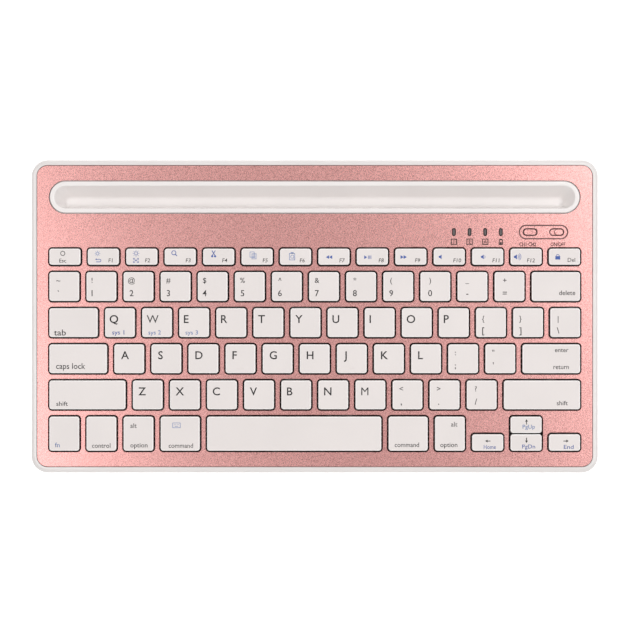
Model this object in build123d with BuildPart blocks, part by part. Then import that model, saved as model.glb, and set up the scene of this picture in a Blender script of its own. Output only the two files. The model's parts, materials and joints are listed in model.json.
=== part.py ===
"""A wireless keyboard with a slot that holds a tablet upright.

A white wedge-shaped tray carries a metallic cover plate. The plate has openings for the 78 keys and a long
stadium-shaped opening for the slot liner. Under the plate lie the scissor links, the rubber domes, the
membrane circuit and its support plate, the circuit board, the battery and their fasteners.

Row frame: +X to the right of the person typing, +Y away from them, +Z up. The origin is at the centre of the
footprint, on the surface that the feet stand on. The deck is the sloping plane of the cover plate's top face;
its own x, y and z are called deck coordinates below.
"""

import os
from dataclasses import dataclass
from math import asin, cos, degrees, radians, sin, tan

from build123d import *

# ---------------------------------------------------------------- driving dimensions, mm and degrees

# Key field
key_pitch_x = 19.0
key_pitch_y = 18.5
key_gap = 3.8  # between the tops of neighbouring caps
units_across = 14.5  # key pitches in each row
function_cap_depth = 8.2
bottom_cap_depth = 17.4
arrow_split = 0.7  # between the up and down arrow caps

# Caps
cap_corner_radius = 1.3
cap_edge_radius = 0.6
cap_draft = 1.5  # degrees
cap_rise = 2.0  # top of the cap above the deck
cap_skirt = 1.9  # bottom of the cap below the deck
cap_wall = 0.9
cap_inner_radius = 0.8
cap_top_wall = 1.1
key_travel = 1.8
plunger_radius = 1.3
plunger_height = 0.5
homing_bar_length = 3.4
homing_bar_width = 0.5
homing_bar_height = 0.2
homing_bar_inset = 2.6  # from the cap's near edge

# Deck and case
deck_tilt = 4.0  # degrees
front_height = 8.0  # top of the rim at the front edge
side_margin = 6.6  # from the key field to the cover's edge
front_margin = 8.4
rim_width = 3.0
cover_thickness = 1.5
cover_corner_radius = 5.5
cover_edge_radius = 0.3
cover_clearance = 0.15  # between the cover's edge and the rim
opening_clearance = 0.65  # between a cap and its opening
opening_chamfer = 0.25
case_corner_radius = 8.5
case_top_radius = 2.0
case_bottom_radius = 1.5
ledge_width = 1.6
floor_thickness = 1.6
stack_gap = 0.05  # between layers that rest on each other

# Tablet slot
slot_lip_depth = 16.2  # front to back
slot_lip_width = 2.3
slot_lip_rise = 0.6
slot_lip_radius = 0.6
slot_depth = 9.5
slot_floor_depth = 5.2
slot_front_lean = 0.9  # how far the front wall leans in over the slot's depth
slot_end_lean = 5.4
slot_floor_radius = 2.2
slot_wall = 1.2
slot_flange_width = 1.7
slot_opening_gap = 0.45
slot_boss_gap = 0.55  # between the liner's flange and the rear screw bosses

# Switches and indicators
indicator_pitch = 8.0
indicator_count = 4
indicator_inset = 59.05  # from the cover's right edge to the middle of the indicators
strip_slot_gap = 9.8  # from the slot's lip to the row of indicators and switches
strip_field_gap = 8.6  # from that row to the key field
indicator_length = 4.2
indicator_width = 2.0
indicator_gap = 0.1
indicator_flange = 0.6
indicator_flange_thickness = 0.5
indicator_recess = 0.15
switch_inset = 25.15  # from the cover's right edge to the middle of the switches
switch_spacing = 13.6
switch_recess_length = 24.7
switch_recess_width = 6.8
switch_recess_depth = 0.4
switch_window_length = 7.0
switch_window_width = 3.3
switch_window_chamfer = 0.3
switch_knob_length = 4.4
switch_knob_gap = 0.15
switch_travel = 2.2
switch_flange = 0.5  # of the knob, beyond the window at either end of its travel
switch_flange_thickness = 0.6
switch_body_length = 9.0
switch_body_width = 4.6
switch_body_height = 2.9
switch_stem_length = 1.6
switch_stem_width = 1.2
switch_stem_depth = 1.4

# Layers under the keys
membrane_clearance = 0.3  # under the skirt of a pressed key
membrane_sheet = 0.15
membrane_margin = 1.0  # beyond the key field
plate_thickness = 0.6
plate_margin = 1.4
spacer_hole_radius = 1.8
stake_radius = 0.7
stake_shoulder_radius = 1.1
stake_clearance = 0.15
stake_length = 0.6  # past the support plate
stake_columns = 5
stake_column_pitch = 58.0

# Domes, links and stabilisers
dome_radius = 3.0
small_dome_radius = 1.75
dome_top_radius = 1.2
dome_wall = 0.4
dome_flange = 0.35
dome_clearance = 0.1
link_length = 10.8
link_width = 10.6
small_link_width = 6.0
link_bar = 0.7
link_gap = 0.15  # between the outer and the inner frame
link_clearance = 0.2  # above the membrane and below the cap
stabiliser_radius = 0.35
stabiliser_inset = 2.4  # from the cap's ends
stabiliser_wall_gap = 0.15
stabiliser_arm_reach = 5.6
stabiliser_bend = 1.2
stabiliser_from_units = 1.5

# Circuit board and what is on it
board_length = 92.0
board_depth = 14.0
board_thickness = 1.0
board_top = -6.4  # deck z
board_wall_gap = 0.8  # to the tray's side wall
board_post_radius = 1.6
led_length = 1.6
led_width = 0.9
led_height = 0.5
chip_size = 7.0
chip_height = 1.0
radio_length = 10.0
radio_width = 7.6
radio_height = 1.4
crystal_length = 3.2
crystal_width = 1.6
tail_width = 14.0
tail_clamp_depth = 2.4
tail_clamp_height = 1.2
tail_clamp_setback = 2.6  # from the board's front edge
tail_inset = 4.5  # from the board's left end
socket_width = 7.6
socket_length = 6.0
socket_height = 2.7
socket_wall = 0.35
socket_inset = 0.4  # from the tray's outer face
socket_gap = 0.3
socket_tongue_height = 0.7

# Battery
battery_length = 52.0
battery_depth = 34.0
battery_thickness = 4.4
battery_corner_radius = 1.6
battery_offset = 17.05  # from the board's left end to the battery's middle
battery_board_gap = 2.1  # between the battery and the board's front edge
rail_thickness = 1.2
rail_height = 2.6
rail_gap = 0.4
lead_diameter = 1.0
lead_spacing = 2.0
lead_bend = 3.0
lead_run = 14.0  # from the board's left end back to where the leads leave the battery
lead_setback = 3.2  # from the switches' row to the first lead

# Feet and screws
foot_height = 1.0  # below the tray
foot_recess = 0.8
foot_radius = 5.0
foot_gap = 0.1
foot_edge_radius = 0.4
foot_inset_x = 18.0
foot_inset_y = 14.0
screw_radius = 0.95
screw_head_radius = 1.8
screw_head_height = 0.9
screw_length = 5.0
screw_gap = 0.1
screw_recess = 1.0
screw_drive_radius = 0.8
screw_drive_depth = 0.5
screw_pad_radius = 2.8
screw_pad_height = 0.5
boss_radius = 2.0
boss_gap = 0.1
outer_screw_spread = 100.0
middle_screw_xs = (-120.0, -40.0, 40.0)
screw_edge_inset = 3.95  # from the cover's front and rear edges

# ---------------------------------------------------------------- sizes that follow

field_width = units_across * key_pitch_x - key_gap
cap_depth = key_pitch_y - key_gap
field_depth = function_cap_depth + 4 * key_pitch_y + bottom_cap_depth + key_gap
slot_setback = screw_edge_inset + boss_radius + slot_boss_gap + slot_flange_width + slot_lip_depth / 2
strip_setback = slot_setback + slot_lip_depth / 2 + strip_slot_gap
head_depth = strip_setback + strip_field_gap
cover_width = field_width + 2 * side_margin
cover_depth = field_depth + front_margin + head_depth
case_width = cover_width + 2 * rim_width
case_depth = cover_depth + 2 * rim_width
field_rear_y = cover_depth / 2 - head_depth
field_front_y = field_rear_y - field_depth
field_left_x = -field_width / 2
slot_y = cover_depth / 2 - slot_setback
strip_y = cover_depth / 2 - strip_setback

tilt = radians(deck_tilt)
deck_centre_height = front_height + case_depth / 2 * sin(tilt)
deck = Plane(origin=(0, 0, deck_centre_height), x_dir=(1, 0, 0), z_dir=(0, -sin(tilt), cos(tilt)))
deck_axis = Axis(deck.origin, deck.z_dir)
footprint_depth = case_depth * cos(tilt)
floor_top = foot_height + floor_thickness

membrane_top = -(cap_skirt + key_travel + membrane_clearance)
membrane_thickness = 3 * membrane_sheet
plate_top = membrane_top - membrane_thickness - stack_gap
plate_bottom = plate_top - plate_thickness
cap_inner_top = cap_rise - cap_top_wall
liner_bottom = -(slot_depth + slot_wall)
board_right = cover_width / 2 - ledge_width - board_wall_gap
board_left = board_right - board_length
board_centre_x = (board_left + board_right) / 2
battery_x = board_left - battery_offset
battery_y = strip_y - board_depth / 2 - battery_board_gap - battery_depth / 2
indicator_centre_x = cover_width / 2 - indicator_inset
switch_centre_x = cover_width / 2 - switch_inset
knob_shift = (switch_window_length - switch_knob_length) / 2 - switch_knob_gap


def deck_height(y):
    """Height of the deck's top face above the table at the row frame's y."""
    return deck_centre_height + y * tan(tilt)


def row_y(y, z=0.0):
    """The row frame's y of a point that is at y and z in deck coordinates."""
    return y * cos(tilt) - z * sin(tilt)


# ---------------------------------------------------------------- key layout


@dataclass
class Key:
    """One key: its name, the node it belongs to, its place on the deck, its size and its width in pitches."""

    name: str
    node: str
    x: float
    y: float
    width: float
    depth: float
    units: float

    @property
    def is_shallow(self):
        """True for the function row and the arrows, whose links lie across the key."""
        return self.depth < link_length + 2 * cap_wall


digits = list("1234567890")
function_row = ["escape", *[f"f{number}" for number in range(1, 13)], "lock"]
number_names = ["backquote", *digits, "minus", "equals"]
upper_names = [*"qwertyuiop", "left_bracket", "right_bracket", "backslash"]
home_names = [*"asdfghjkl", "semicolon", "quote"]
lower_names = [*"zxcvbnm", "comma", "period", "slash"]

number_row = [(name, 1.0) for name in number_names] + [("delete", 1.5)]
upper_row = [("tab", 1.5)] + [(name, 1.0) for name in upper_names]
home_row = [("caps_lock", 1.75)] + [(name, 1.0) for name in home_names] + [("return", 1.75)]
lower_row = [("left_shift", 2.25)] + [(name, 1.0) for name in lower_names] + [("right_shift", 2.25)]

function_pitch = units_across * key_pitch_x / len(function_row)
arrow_units = function_pitch / key_pitch_x
space_units = units_across - 4 * 1.0 - 2 * 1.25 - 3 * arrow_units
bottom_row = [(name, 1.0) for name in ("fn", "control", "left_option")] + [("left_command", 1.25)]
bottom_row += [("space", space_units), ("right_command", 1.25), ("right_option", 1.0)]

groups = {
    "function_keys": function_row,
    "number_keys": number_names,
    "punctuation_keys": [*upper_names[-3:], *home_names[-2:], *lower_names[-3:]],
    "modifier_keys": ["fn", "control", "left_option", "left_command", "right_command", "right_option"],
}
group_of = {name: group for group, names in groups.items() for name in names}


def make_key(name, left, rear, units, depth):
    """A key whose pitch cell starts at left and whose cap ends at rear, both in deck coordinates."""
    width = units * key_pitch_x - key_gap
    node = group_of.get(name, "key_" + name)
    return Key(name, node, left + width / 2, rear - depth / 2, width, depth, units)


def make_row(row, rear, depth):
    """The keys of one row, laid from the left edge of the key field."""
    made = []
    left = field_left_x
    for name, units in row:
        made.append(make_key(name, left, rear, units, depth))
        left += units * key_pitch_x
    return made


number_rear_y = field_rear_y - function_cap_depth - key_gap
bottom_rear_y = number_rear_y - 4 * key_pitch_y
arrow_depth = (bottom_cap_depth - arrow_split) / 2
arrow_left = field_left_x + (units_across - 3 * arrow_units) * key_pitch_x
arrow_front_rear_y = bottom_rear_y - arrow_depth - arrow_split

keys = make_row([(name, arrow_units) for name in function_row], field_rear_y, function_cap_depth)
for index, row in enumerate([number_row, upper_row, home_row, lower_row]):
    keys += make_row(row, number_rear_y - index * key_pitch_y, cap_depth)
keys += make_row(bottom_row, bottom_rear_y, bottom_cap_depth)
for column, name in enumerate(["left_arrow", "down_arrow", "right_arrow"]):
    left = arrow_left + column * function_pitch
    keys.append(make_key(name, left, arrow_front_rear_y, arrow_units, arrow_depth))
keys.append(make_key("up_arrow", arrow_left + function_pitch, bottom_rear_y, arrow_units, arrow_depth))

# The up and down arrows share one opening as deep as the bottom row.
own_openings = [key for key in keys if key.name not in ("up_arrow", "down_arrow")]
openings = [(key.x, key.y, key.width, key.depth) for key in own_openings]
up_arrow = keys[-1]
openings.append((up_arrow.x, bottom_rear_y - bottom_cap_depth / 2, up_arrow.width, bottom_cap_depth))

# ---------------------------------------------------------------- places shared by several pieces

screw_edge_y = cover_depth / 2 - screw_edge_inset
screw_points = [(x, row_y(y)) for y in (screw_edge_y, -screw_edge_y)
                for x in (-outer_screw_spread, 0, outer_screw_spread)]
screw_points += [(x, row_y(strip_y)) for x in middle_screw_xs]
foot_points = [(sx * (case_width / 2 - foot_inset_x), sy * (footprint_depth / 2 - foot_inset_y))
               for sx in (-1, 1) for sy in (-1, 1)]
indicator_points = [(indicator_centre_x + (i - (indicator_count - 1) / 2) * indicator_pitch, strip_y)
                    for i in range(indicator_count)]
channel_window = (switch_centre_x - switch_spacing / 2, strip_y)
power_window = (switch_centre_x + switch_spacing / 2, strip_y)
stake_points = [(column * stake_column_pitch, number_rear_y - row * key_pitch_y + key_gap / 2)
                for row in range(1, 5) for column in range(-(stake_columns // 2), stake_columns // 2 + 1)]
key_points = [(key.x, key.y) for key in keys]
full_points = [(key.x, key.y) for key in keys if not key.is_shallow]
shallow_points = [(key.x, key.y) for key in keys if key.is_shallow]


def on_deck(points, height):
    """Locations at deck points, height above the deck."""
    return [deck.location * Pos(x, y, height) for x, y in points]


def facing_right(x, y, z):
    """A plane at a deck point that looks into the piece from the right, its own x along the deck's normal."""
    return Plane(deck.location * Pos(x, y, z) * Rotation(0, -90, 0))


made_parts = {}


def keep(name, part):
    """Labels a finished piece and writes it as one STEP file."""
    part.label = name
    made_parts[name] = part
    export_step(part, f"parts/{name}.step")


os.makedirs("parts", exist_ok=True)

# ---------------------------------------------------------------- tray: the white bottom case

socket_centre_z = board_top + socket_height / 2
board_posts = [(board_left + 4, strip_y - 3), (board_centre_x, strip_y - 3), (board_right - 10, strip_y - 3)]

with BuildPart() as cavity:
    # The space inside the tray: straight up from the floor to above the deck.
    with BuildSketch(Plane.XY.offset(floor_top)):
        RectangleRounded(cover_width - 2 * ledge_width, (cover_depth - 2 * ledge_width) * cos(tilt),
                         cover_corner_radius - ledge_width)
    extrude(amount=deck_height(footprint_depth / 2))

with BuildPart() as bottom_case:
    with BuildSketch(Plane.XY.offset(foot_height)):
        RectangleRounded(case_width, footprint_depth, case_corner_radius)
    extrude(amount=deck_height(footprint_depth / 2))
    split(bisect_by=deck, keep=Keep.BOTTOM)
    fillet(bottom_case.faces().sort_by(deck_axis)[-1].edges(), case_top_radius)
    fillet(bottom_case.faces().sort_by(Axis.Z)[0].edges(), case_bottom_radius)
    add(cavity.part, mode=Mode.SUBTRACT)
    with BuildSketch(deck):
        RectangleRounded(cover_width + 2 * cover_clearance, cover_depth + 2 * cover_clearance,
                         cover_corner_radius + cover_clearance)
    extrude(amount=-(cover_thickness + stack_gap), mode=Mode.SUBTRACT)
    # Pads under the screw bosses, rails round the battery and posts under the board
    with BuildSketch(Plane.XY.offset(floor_top)):
        with Locations(*screw_points):
            Circle(screw_pad_radius)
    extrude(amount=screw_pad_height)
    with BuildSketch(Plane.XY.offset(floor_top)):
        with Locations((battery_x, battery_y)):
            Rectangle(battery_length + 2 * (rail_gap + rail_thickness), battery_depth * 0.5)
            Rectangle(battery_length + 2 * rail_gap, battery_depth, mode=Mode.SUBTRACT)
    extrude(amount=rail_height)
    for x, y in board_posts:
        post_top = board_top - board_thickness - stack_gap
        with BuildSketch(deck.offset(post_top)):
            with Locations((x, y)):
                Circle(board_post_radius)
        extrude(amount=-(deck_height(y) + post_top - floor_top + floor_thickness / 2))
    # Screw holes, foot recesses and the mouth for the charging socket
    with BuildSketch(Plane.XY.offset(foot_height)):
        with Locations(*screw_points):
            Circle(screw_radius + screw_gap)
    extrude(amount=floor_thickness + screw_pad_height, mode=Mode.SUBTRACT)
    with BuildSketch(Plane.XY.offset(foot_height)):
        with Locations(*screw_points):
            Circle(screw_head_radius + 2 * screw_gap)
    extrude(amount=screw_recess, mode=Mode.SUBTRACT)
    with BuildSketch(Plane.XY.offset(foot_height)):
        with Locations(*foot_points):
            Circle(foot_radius + foot_gap)
    extrude(amount=foot_recess, mode=Mode.SUBTRACT)
    with BuildSketch(facing_right(case_width / 2, strip_y, socket_centre_z)):
        RectangleRounded(socket_height + 2 * socket_gap, socket_width + 2 * socket_gap, 0.9)
    extrude(amount=rim_width + ledge_width + 1, mode=Mode.SUBTRACT)
keep("bottom_case", bottom_case.part)

# ---------------------------------------------------------------- cover plate

boss_bottom = floor_top + screw_pad_height + boss_gap
screw_hole_top = foot_height + screw_recess + screw_length + screw_gap
opening_sizes = sorted({(width, depth) for _, _, width, depth in openings})

with BuildPart() as top_cover:
    with BuildSketch(deck):
        RectangleRounded(cover_width, cover_depth, cover_corner_radius)
    extrude(amount=-cover_thickness)
    fillet(top_cover.faces().sort_by(deck_axis)[-1].edges(), cover_edge_radius)
    # Bosses that the case screws bite into, standing straight down to the tray's pads
    for x, y in screw_points:
        with BuildSketch(Plane.XY.offset(boss_bottom)):
            with Locations((x, y)):
                Circle(boss_radius)
        extrude(amount=deck_height(y) - cover_thickness / 2 - boss_bottom)
    with BuildSketch(Plane.XY.offset(boss_bottom)):
        with Locations(*screw_points):
            Circle(screw_radius + stack_gap)
    extrude(amount=screw_hole_top - boss_bottom, mode=Mode.SUBTRACT)
    # Stakes that the membrane and the support plate hang on
    stake_steps = ((stake_shoulder_radius, membrane_top + stack_gap),
                   (stake_radius, plate_bottom - stake_length))
    for radius, end in stake_steps:
        with BuildSketch(deck.offset(-cover_thickness / 2)):
            with Locations(*stake_points):
                Circle(radius)
        extrude(amount=end + cover_thickness / 2)
    with BuildSketch(deck):
        with Locations((switch_centre_x, strip_y)):
            SlotOverall(switch_recess_length, switch_recess_width)
    extrude(amount=-switch_recess_depth, mode=Mode.SUBTRACT)
    with BuildSketch(deck.offset(-switch_recess_depth)):
        with Locations(channel_window, power_window):
            SlotOverall(switch_window_length + 2 * switch_window_chamfer,
                        switch_window_width + 2 * switch_window_chamfer)
    extrude(amount=-switch_window_chamfer, taper=45, mode=Mode.SUBTRACT)
    # Openings for the slot liner, the indicators, the switches and the keys
    with BuildSketch(deck):
        with Locations((0, slot_y)):
            SlotOverall(field_width + 2 * slot_opening_gap, slot_lip_depth + 2 * slot_opening_gap)
        with Locations(*indicator_points):
            SlotOverall(indicator_length, indicator_width, rotation=90)
        with Locations(channel_window, power_window):
            SlotOverall(switch_window_length, switch_window_width)
        for size in opening_sizes:
            with Locations(*[(x, y) for x, y, width, depth in openings if (width, depth) == size]):
                RectangleRounded(size[0] + 2 * opening_clearance, size[1] + 2 * opening_clearance,
                                 cap_corner_radius + opening_clearance)
    extrude(amount=-cover_thickness, mode=Mode.SUBTRACT)
    # A small chamfer round each key opening
    deck_face = top_cover.faces().sort_by(deck_axis)[-1]
    shortest = min(2 * (width + depth) for width, depth in opening_sizes)
    longest = max(2 * (width + depth) for width, depth in opening_sizes)
    key_wires = [wire for wire in deck_face.inner_wires() if shortest < wire.length < longest + 2 * key_gap]
    chamfer([edge for wire in key_wires for edge in wire.edges()], opening_chamfer)
keep("top_cover", top_cover.part)

# ---------------------------------------------------------------- slot liner

with BuildPart() as slot_liner:
    with BuildSketch(deck.offset(slot_lip_rise)):
        with Locations((0, slot_y)):
            SlotOverall(field_width, slot_lip_depth)
    extrude(amount=liner_bottom - slot_lip_rise)
    with BuildSketch(deck.offset(-cover_thickness - stack_gap)):
        with Locations((0, slot_y)):
            SlotOverall(field_width + 2 * slot_flange_width, slot_lip_depth + 2 * slot_flange_width)
    extrude(amount=-slot_wall)
    mouth_length = field_width - 2 * slot_lip_width
    mouth_depth = slot_lip_depth - 2 * slot_lip_width
    with BuildSketch(deck.offset(slot_lip_rise)):
        with Locations((0, slot_y)):
            SlotOverall(mouth_length, mouth_depth)
    with BuildSketch(deck.offset(-slot_depth)):
        with Locations((0, slot_y - (mouth_depth - slot_floor_depth) / 2 + slot_front_lean)):
            SlotOverall(mouth_length - 2 * slot_end_lean, slot_floor_depth)
    loft(mode=Mode.SUBTRACT)
    floor_edges = slot_liner.faces().filter_by(Plane(deck.location)).group_by(deck_axis)
    fillet([edge for face in floor_edges[1] for edge in face.edges()], slot_floor_radius)
    fillet(slot_liner.faces().sort_by(deck_axis)[-1].edges(), slot_lip_radius)
keep("slot_liner", slot_liner.part)

# ---------------------------------------------------------------- key caps


def build_caps(name, node_keys):
    """The caps of one node, hollow from below, each with a plunger over its dome; F and J have a bar."""
    flare = 2 * (cap_rise + cap_skirt) * tan(radians(cap_draft))
    with BuildPart() as caps:
        with BuildSketch(deck.offset(-cap_skirt)):
            for key in node_keys:
                with Locations((key.x, key.y)):
                    RectangleRounded(key.width + flare, key.depth + flare, cap_corner_radius + flare / 2)
        extrude(amount=cap_rise + cap_skirt, taper=cap_draft)
        fillet(caps.faces().group_by(deck_axis)[-1].edges(), cap_edge_radius)
        with BuildSketch(deck.offset(-cap_skirt)):
            for key in node_keys:
                with Locations((key.x, key.y)):
                    RectangleRounded(key.width - 2 * cap_wall, key.depth - 2 * cap_wall, cap_inner_radius)
        extrude(amount=cap_inner_top + cap_skirt, mode=Mode.SUBTRACT)
        with BuildSketch(deck.offset(cap_inner_top - plunger_height)):
            with Locations(*[(key.x, key.y) for key in node_keys]):
                Circle(plunger_radius)
        extrude(amount=plunger_height + cap_top_wall / 2)
        for key in node_keys:
            if key.name in ("f", "j"):
                with BuildSketch(deck.offset(cap_rise - cap_top_wall / 2)):
                    with Locations((key.x, key.y - key.depth / 2 + homing_bar_inset)):
                        SlotOverall(homing_bar_length, homing_bar_width)
                extrude(amount=homing_bar_height + cap_top_wall / 2)
    keep(name, caps.part)


for node in sorted({key.node for key in keys}):
    build_caps(node, [key for key in keys if key.node == node])

# ---------------------------------------------------------------- rubber domes

dome_height = cap_inner_top - plunger_height - dome_clearance - membrane_top


def build_dome(radius):
    """One collapsible dome standing on the origin: a thin skirt under a solid top."""
    inner_height = dome_height * 0.6
    rim = radius - dome_flange
    profile = [(0, dome_height), (dome_top_radius, dome_height), (dome_top_radius, dome_height * 0.7),
               (rim, dome_flange), (radius, dome_flange), (radius, 0), (rim - dome_wall, 0),
               (dome_top_radius - dome_wall, inner_height), (0, inner_height)]
    with BuildPart() as dome:
        with BuildSketch(Plane.XZ):
            with BuildLine():
                Polyline(*profile, close=True)
            make_face()
        revolve(axis=Axis.Z)
    return dome.part


with BuildPart() as rubber_domes:
    for points, radius in ((full_points, dome_radius), (shallow_points, small_dome_radius)):
        with Locations(*on_deck(points, membrane_top)):
            add(build_dome(radius))
keep("rubber_domes", rubber_domes.part)

# ---------------------------------------------------------------- scissor links

link_span = cap_inner_top - membrane_top - 2 * link_clearance
link_angle = degrees(asin((link_span - link_bar) / link_length))
link_height = (cap_inner_top + membrane_top) / 2


def build_link(width):
    """One flat link frame about the origin, long in y."""
    with BuildPart() as frame:
        with BuildSketch(Plane.XY.offset(-link_bar / 2)):
            RectangleRounded(width, link_length, link_bar)
            Rectangle(width - 2 * link_bar, link_length - 2 * link_bar, mode=Mode.SUBTRACT)
        extrude(amount=link_bar)
    return frame.part


with BuildPart() as scissor_links:
    for points, width, spin in ((full_points, link_width, 0), (shallow_points, small_link_width, 90)):
        inner_width = width - 2 * (link_bar + link_gap)
        for frame_width, lean in ((width, link_angle), (inner_width, -link_angle)):
            turn = Rotation(0, 0, spin) * Rotation(lean, 0, 0)
            with Locations(*[place * turn for place in on_deck(points, link_height)]):
                add(build_link(frame_width))
keep("scissor_links", scissor_links.part)

# ---------------------------------------------------------------- stabiliser bars of the wide keys

bar_z = cap_inner_top - stabiliser_radius - stack_gap
foot_z = membrane_top + stabiliser_radius + stack_gap

with BuildPart() as stabiliser_bars:
    for key in keys:
        if key.units < stabiliser_from_units:
            continue
        half = key.width / 2 - stabiliser_inset
        bar_y = key.y + key.depth / 2 - cap_wall - stabiliser_wall_gap - stabiliser_radius
        corners = [(-half, -stabiliser_arm_reach, foot_z), (-half, 0, bar_z), (half, 0, bar_z),
                   (half, -stabiliser_arm_reach, foot_z)]
        with BuildLine(Plane(deck.location * Pos(key.x, bar_y, 0))) as bar_path:
            FilletPolyline(*corners, radius=stabiliser_bend)
        with BuildSketch(Plane(bar_path.line @ 0, z_dir=bar_path.line % 0)):
            Circle(stabiliser_radius)
        sweep(path=bar_path.line)
keep("stabiliser_bars", stabiliser_bars.part)

# ---------------------------------------------------------------- membrane circuit and support plate

tail_x = board_left + tail_inset + tail_width / 2
tail_top = membrane_top - 2 * membrane_sheet
membrane_width = field_width + 2 * membrane_margin
membrane_depth = field_depth + 2 * membrane_margin
field_centre_y = (field_rear_y + field_front_y) / 2
membrane_rear_y = field_rear_y + membrane_margin
clamp_front_y = strip_y - board_depth / 2 + tail_clamp_setback


def sheet(top, holes=()):
    """One polyester sheet of the membrane, cut through for the stakes and at holes."""
    with BuildPart() as layer:
        with BuildSketch(deck.offset(top)):
            with Locations((0, field_centre_y)):
                Rectangle(membrane_width, membrane_depth)
            with Locations(*stake_points):
                Circle(stake_radius + stake_clearance, mode=Mode.SUBTRACT)
            if holes:
                with Locations(*holes):
                    Circle(spacer_hole_radius, mode=Mode.SUBTRACT)
        extrude(amount=-membrane_sheet)
    return layer.part


with BuildPart() as tail:
    # The lowest sheet runs on as a tail, down and over the board to its clamp.
    tail_edge = deck.from_local_coords((tail_x - tail_width / 2, 0, 0))
    side_plane = Plane(tail_edge, x_dir=deck.y_dir, z_dir=deck.x_dir)
    with BuildSketch(side_plane):
        with BuildLine():
            drop = board_top + stack_gap + membrane_sheet
            start = (membrane_rear_y, tail_top)
            end = (clamp_front_y + tail_clamp_depth, drop)
            upper = [start, (membrane_rear_y + 1.0, tail_top), (clamp_front_y - 1.0, drop), end]
            lower = [(y, z - membrane_sheet) for y, z in reversed(upper)]
            Polyline(*upper, *lower, close=True)
        make_face()
    extrude(amount=tail_width)

lowest_sheet = sheet(membrane_top - 2 * membrane_sheet) + tail.part
membrane_circuit = Part(Compound(children=[
    sheet(membrane_top), sheet(membrane_top - membrane_sheet, key_points), lowest_sheet]).wrapped)
keep("membrane_circuit", membrane_circuit)

with BuildPart() as support_plate:
    with BuildSketch(deck.offset(plate_top)):
        with Locations((0, field_centre_y)):
            Rectangle(field_width + 2 * plate_margin, field_depth + 2 * plate_margin)
        with Locations(*stake_points):
            Circle(stake_radius + stake_clearance, mode=Mode.SUBTRACT)
        with Locations((tail_x, membrane_rear_y + plate_margin / 2)):
            Rectangle(tail_width + 2, plate_margin + 1, mode=Mode.SUBTRACT)
    extrude(amount=-plate_thickness)
keep("support_plate", support_plate.part)

# ---------------------------------------------------------------- circuit board and its components

with BuildPart() as circuit_board:
    with BuildSketch(deck.offset(board_top)):
        with Locations((board_centre_x, strip_y)):
            RectangleRounded(board_length, board_depth, 1.0)
    extrude(amount=-board_thickness)
keep("circuit_board", circuit_board.part)

component_bottom = board_top + stack_gap


# Centre x and y, length, width, height and bottom of each square-cornered component
components = [(x, y, led_length, led_width, led_height, component_bottom) for x, y in indicator_points]
components += [
    (tail_x, clamp_front_y + tail_clamp_depth / 2, tail_width, tail_clamp_depth, tail_clamp_height,
     component_bottom + membrane_sheet + stack_gap),
    (indicator_points[-1][0] + 2 + chip_size / 2, strip_y + (board_depth - chip_size) / 2 - 0.5,
     chip_size, chip_size, chip_height, component_bottom),
    (board_left + radio_length / 2 + 1, strip_y + (board_depth - radio_width) / 2 - 0.5,
     radio_length, radio_width, radio_height, component_bottom),
    (board_right - 8, strip_y + board_depth / 2 - 2, crystal_length, crystal_width, 0.7, component_bottom),
]

with BuildPart() as board_components:
    for x, y, length, width, height, bottom in components:
        with BuildSketch(deck.offset(bottom)):
            with Locations((x, y)):
                Rectangle(length, width)
        extrude(amount=height)
keep("board_components", board_components.part)

switch_body_top = component_bottom + switch_body_height
knob_flange_top = -cover_thickness - stack_gap

with BuildPart() as slide_switch_bodies:
    with BuildSketch(deck.offset(component_bottom)):
        with Locations(channel_window, power_window):
            Rectangle(switch_body_length, switch_body_width)
    extrude(amount=switch_body_height)
    with BuildSketch(deck.offset(switch_body_top)):
        with Locations(channel_window, power_window):
            Rectangle(switch_stem_length + 2 * knob_shift + 2 * switch_knob_gap,
                      switch_stem_width + 2 * switch_knob_gap)
    extrude(amount=-switch_stem_depth - switch_knob_gap, mode=Mode.SUBTRACT)
keep("slide_switch_bodies", slide_switch_bodies.part)


def build_knob(name, window, shift):
    """A slide switch's knob: a grip in the window, a flange under the cover and a stem in the switch body."""
    x, y = window[0] + shift, window[1]
    flange_bottom = knob_flange_top - switch_flange_thickness
    with BuildPart() as knob:
        with BuildSketch(deck.offset(-switch_recess_depth)):
            with Locations((x, y)):
                SlotOverall(switch_knob_length, switch_window_width - 2 * switch_knob_gap)
        extrude(amount=flange_bottom + switch_recess_depth)
        fillet(knob.faces().sort_by(deck_axis)[-1].edges(), 0.2)
        with BuildSketch(deck.offset(knob_flange_top)):
            with Locations((x, y)):
                Rectangle(switch_window_length + 2 * (knob_shift + switch_flange),
                          switch_window_width + 2 * switch_flange)
        extrude(amount=-switch_flange_thickness)
        with BuildSketch(deck.offset(flange_bottom)):
            with Locations((x, y)):
                Rectangle(switch_stem_length, switch_stem_width)
        extrude(amount=switch_body_top - switch_stem_depth - flange_bottom)
    keep(name, knob.part)


build_knob("channel_switch_knob", channel_window, -knob_shift)
build_knob("power_switch_knob", power_window, knob_shift)

with BuildPart() as indicator_lenses:
    lens_bottom = component_bottom + led_height + indicator_gap
    lens_steps = ((-indicator_recess, -indicator_gap, lens_bottom + indicator_recess),
                  (-cover_thickness - stack_gap, indicator_flange, -indicator_flange_thickness))
    for top, spread, amount in lens_steps:
        with BuildSketch(deck.offset(top)):
            with Locations(*indicator_points):
                SlotOverall(indicator_length + 2 * spread, indicator_width + 2 * spread, rotation=90)
        extrude(amount=amount)
keep("indicator_lenses", indicator_lenses.part)

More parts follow.
